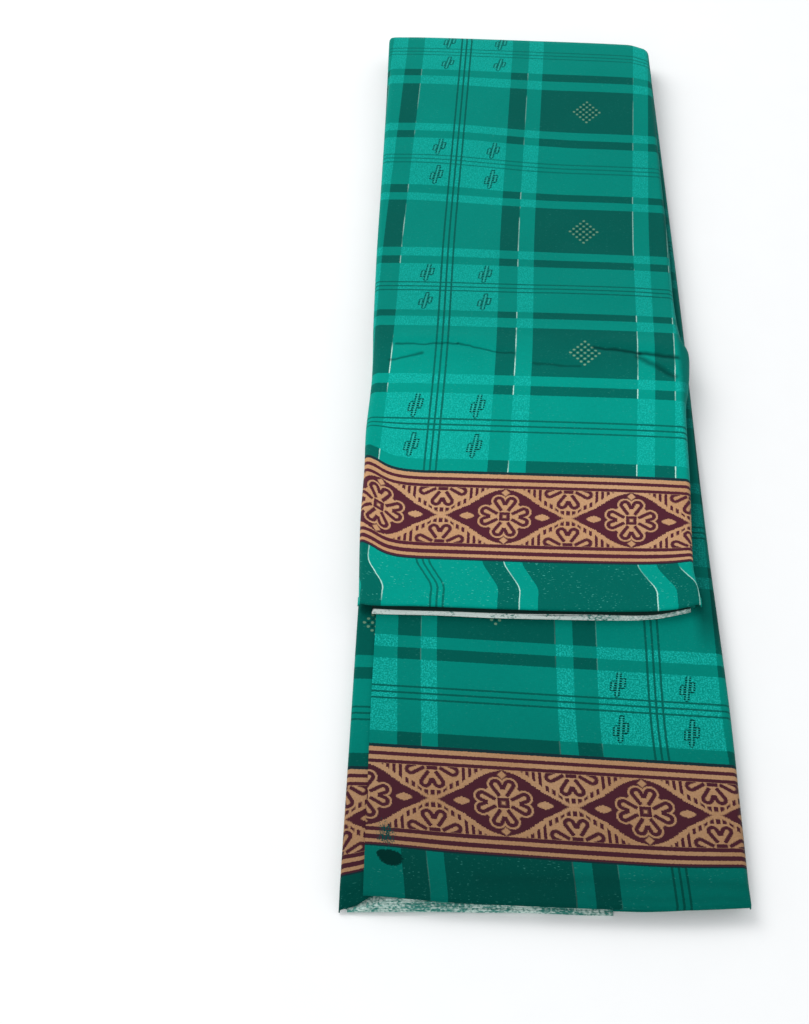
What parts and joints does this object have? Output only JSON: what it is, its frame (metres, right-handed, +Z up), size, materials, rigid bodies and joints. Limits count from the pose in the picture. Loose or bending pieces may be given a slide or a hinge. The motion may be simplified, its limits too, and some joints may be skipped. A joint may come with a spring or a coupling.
{
  "type": "folded saree",
  "caption": "Printed cotton saree folded flat into a long strip, turned over once so that both hem borders show; it rests on a surface.",
  "frame": {"origin": "under the middle of the folded saree, on the surface that it lies on", "axes": "+Z up, +Y from the hems to the far fold, +X to the right seen from the hems"},
  "size_m": [0.1836, 0.632, 0.0238],
  "materials": {
    "printed_cloth": "plain-weave cotton, printed with a green check and a tan and maroon border, faint sheen",
    "folded_layers": "folded edges of the same printed cotton, matt",
    "woven_edges": "pale unprinted woven edges and reverse of the cotton, matt"
  },
  "bodies": {
    "root": {"outer_stretch": "printed_cloth", "hidden_layers": "folded_layers", "flap_end_layers": "woven_edges", "lower_stretch": "printed_cloth", "lower_left_stretch": "printed_cloth", "front_end_layers": "woven_edges"}
  },
  "joints": []
}
